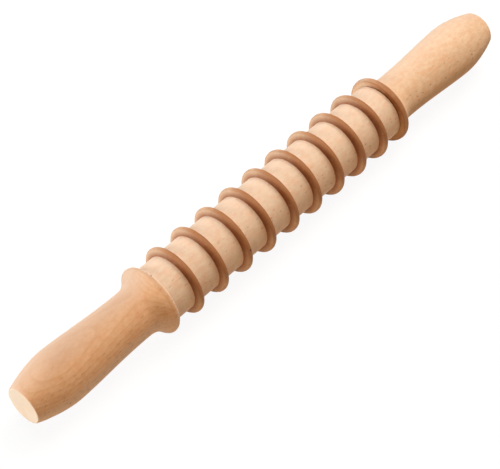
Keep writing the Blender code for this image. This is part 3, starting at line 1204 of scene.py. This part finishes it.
def white_floor():
    """Flat floor under the rings, white to the camera with the pin's soft shadow on it.

    Gloss on the pin sees it white too, and the light that it throws back is the colour of wood.
    """
    z = -RING_TOP - FLOOR_GAP
    corners = [[-1, -1], [1, -1], [1, 1], [-1, 1]]
    mesh = bpy.data.meshes.new("floor")
    mesh.from_pydata([(FLOOR_HALF * a, FLOOR_HALF * b, z) for a, b in corners], [], [(0, 1, 2, 3)])
    material = bpy.data.materials.new("white_floor")
    material.use_nodes = True
    bench = Bench(material.node_tree)
    material.node_tree.nodes.remove(material.node_tree.nodes["Principled BSDF"])
    output = material.node_tree.nodes["Material Output"]
    seen_paint = bench.put("ShaderNodeBsdfDiffuse", {"Color": FLOOR_PAINT})
    glow = bench.put("ShaderNodeEmission", {"Color": WHITE, "Strength": FLOOR_GLOW})
    seen = bench.put("ShaderNodeAddShader", {0: seen_paint.outputs[0], 1: glow.outputs[0]})
    bounce = bench.put("ShaderNodeBsdfDiffuse", {"Color": FLOOR_BOUNCE})
    mirror = bench.put("ShaderNodeEmission", {"Color": WHITE, "Strength": FLOOR_MIRROR_GLOW})
    ray = bench.put("ShaderNodeLightPath").outputs
    unseen = bench.put(
        "ShaderNodeMixShader", {0: ray["Is Glossy Ray"], 1: bounce.outputs[0], 2: mirror.outputs[0]}
    )
    both = bench.put(
        "ShaderNodeMixShader", {0: ray["Is Camera Ray"], 1: unseen.outputs[0], 2: seen.outputs[0]}
    )
    bench.join(both.outputs[0], output.inputs["Surface"])
    floor = bpy.data.objects.new("floor", mesh)
    mesh.materials.append(material)
    bpy.context.scene.collection.objects.link(floor)


def room_light(colour, strength):
    """World that is white to the camera and in reflections, and gives the wood this soft light."""
    world = bpy.data.worlds.new("white_room")
    bpy.context.scene.world = world
    world.use_nodes = True
    world.node_tree.nodes.clear()
    bench = Bench(world.node_tree)
    path = bench.put("ShaderNodeLightPath")
    seen = bench.maths("MAXIMUM", path.outputs["Is Camera Ray"], path.outputs["Is Glossy Ray"])
    seen = bench.maths("MAXIMUM", seen, path.outputs["Is Transmission Ray"])
    white = bench.put("ShaderNodeBackground", {"Color": WHITE, "Strength": 1.0})
    fill = bench.put("ShaderNodeBackground", {"Color": (*colour, 1), "Strength": strength})
    both = bench.put("ShaderNodeMixShader", {0: seen, 1: fill.outputs[0], 2: white.outputs[0]})
    output = bench.put("ShaderNodeOutputWorld")
    bench.join(both.outputs[0], output.inputs["Surface"])


def softbox(name, place, size, level, colour):
    """Square area lamp that looks at the middle of the pin.

    Its power is pi squared times the distance squared times the level, so that a surface that faces
    a lamp of level 1 shows its own colour.
    """
    away = Vector(place)
    lamp = bpy.data.lights.new(name, "AREA")
    lamp.shape = "SQUARE"
    lamp.size = size
    lamp.energy = math.pi**2 * away.length_squared * level
    lamp.color = colour
    holder = bpy.data.objects.new(name, lamp)
    holder.location = away
    holder.rotation_mode = "QUATERNION"
    holder.rotation_quaternion = away.to_track_quat("Z", "Y")
    bpy.context.scene.collection.objects.link(holder)


def photo_camera():
    """Camera that sees the pin from its left end and above, at the photograph's angle and distance."""
    level = math.cos(CAMERA_ELEVATION)
    back = Vector(
        (
            math.sin(CAMERA_AZIMUTH) * level,
            -math.cos(CAMERA_AZIMUTH) * level,
            math.sin(CAMERA_ELEVATION),
        )
    )
    right = Vector((math.cos(CAMERA_AZIMUTH), math.sin(CAMERA_AZIMUTH), 0))
    up = back.cross(right)
    data = bpy.data.cameras.new("camera")
    data.lens = LENS
    data.sensor_width = SENSOR
    data.clip_start = NEAREST_SEEN
    data.clip_end = FURTHEST_SEEN
    camera = bpy.data.objects.new("camera", data)
    camera.location = back * CAMERA_DISTANCE - right * CAMERA_TO_LEFT - up * CAMERA_DOWN
    camera.rotation_mode = "QUATERNION"
    camera.rotation_quaternion = back.to_track_quat("Z", "Y")
    bpy.context.scene.collection.objects.link(camera)
    bpy.context.scene.camera = camera


white_floor()
room_light(colour=(1.0, 0.9, 0.8), strength=0.01)
softbox("top_light", place=(0.0, 0.0, 1.1), size=WIDE_LAMP, level=0.45, colour=(1.0, 0.84, 0.70))
softbox("key_light", place=(0.60, 0.06, 0.94), size=WIDE_LAMP, level=0.70, colour=(1.0, 0.97, 0.95))
softbox("back_light", place=(0.0, 0.50, 0.95), size=WIDE_LAMP, level=0.12, colour=(0.30, 0.70, 1.0))
softbox("left_light", place=(-0.80, 0.62, 0.12), size=SMALL_LAMP, level=0.78, colour=(0.93, 0.97, 1.0))
softbox("end_light", place=(-1.10, 0.40, 0.06), size=SMALL_LAMP, level=0.20, colour=(0.80, 0.92, 1.0))
softbox("low_light", place=(-1.05, -0.45, 0.08), size=SMALL_LAMP, level=0.15, colour=(1.0, 0.77, 0.50))
photo_camera()

bpy.context.scene.view_settings.view_transform = "Standard"
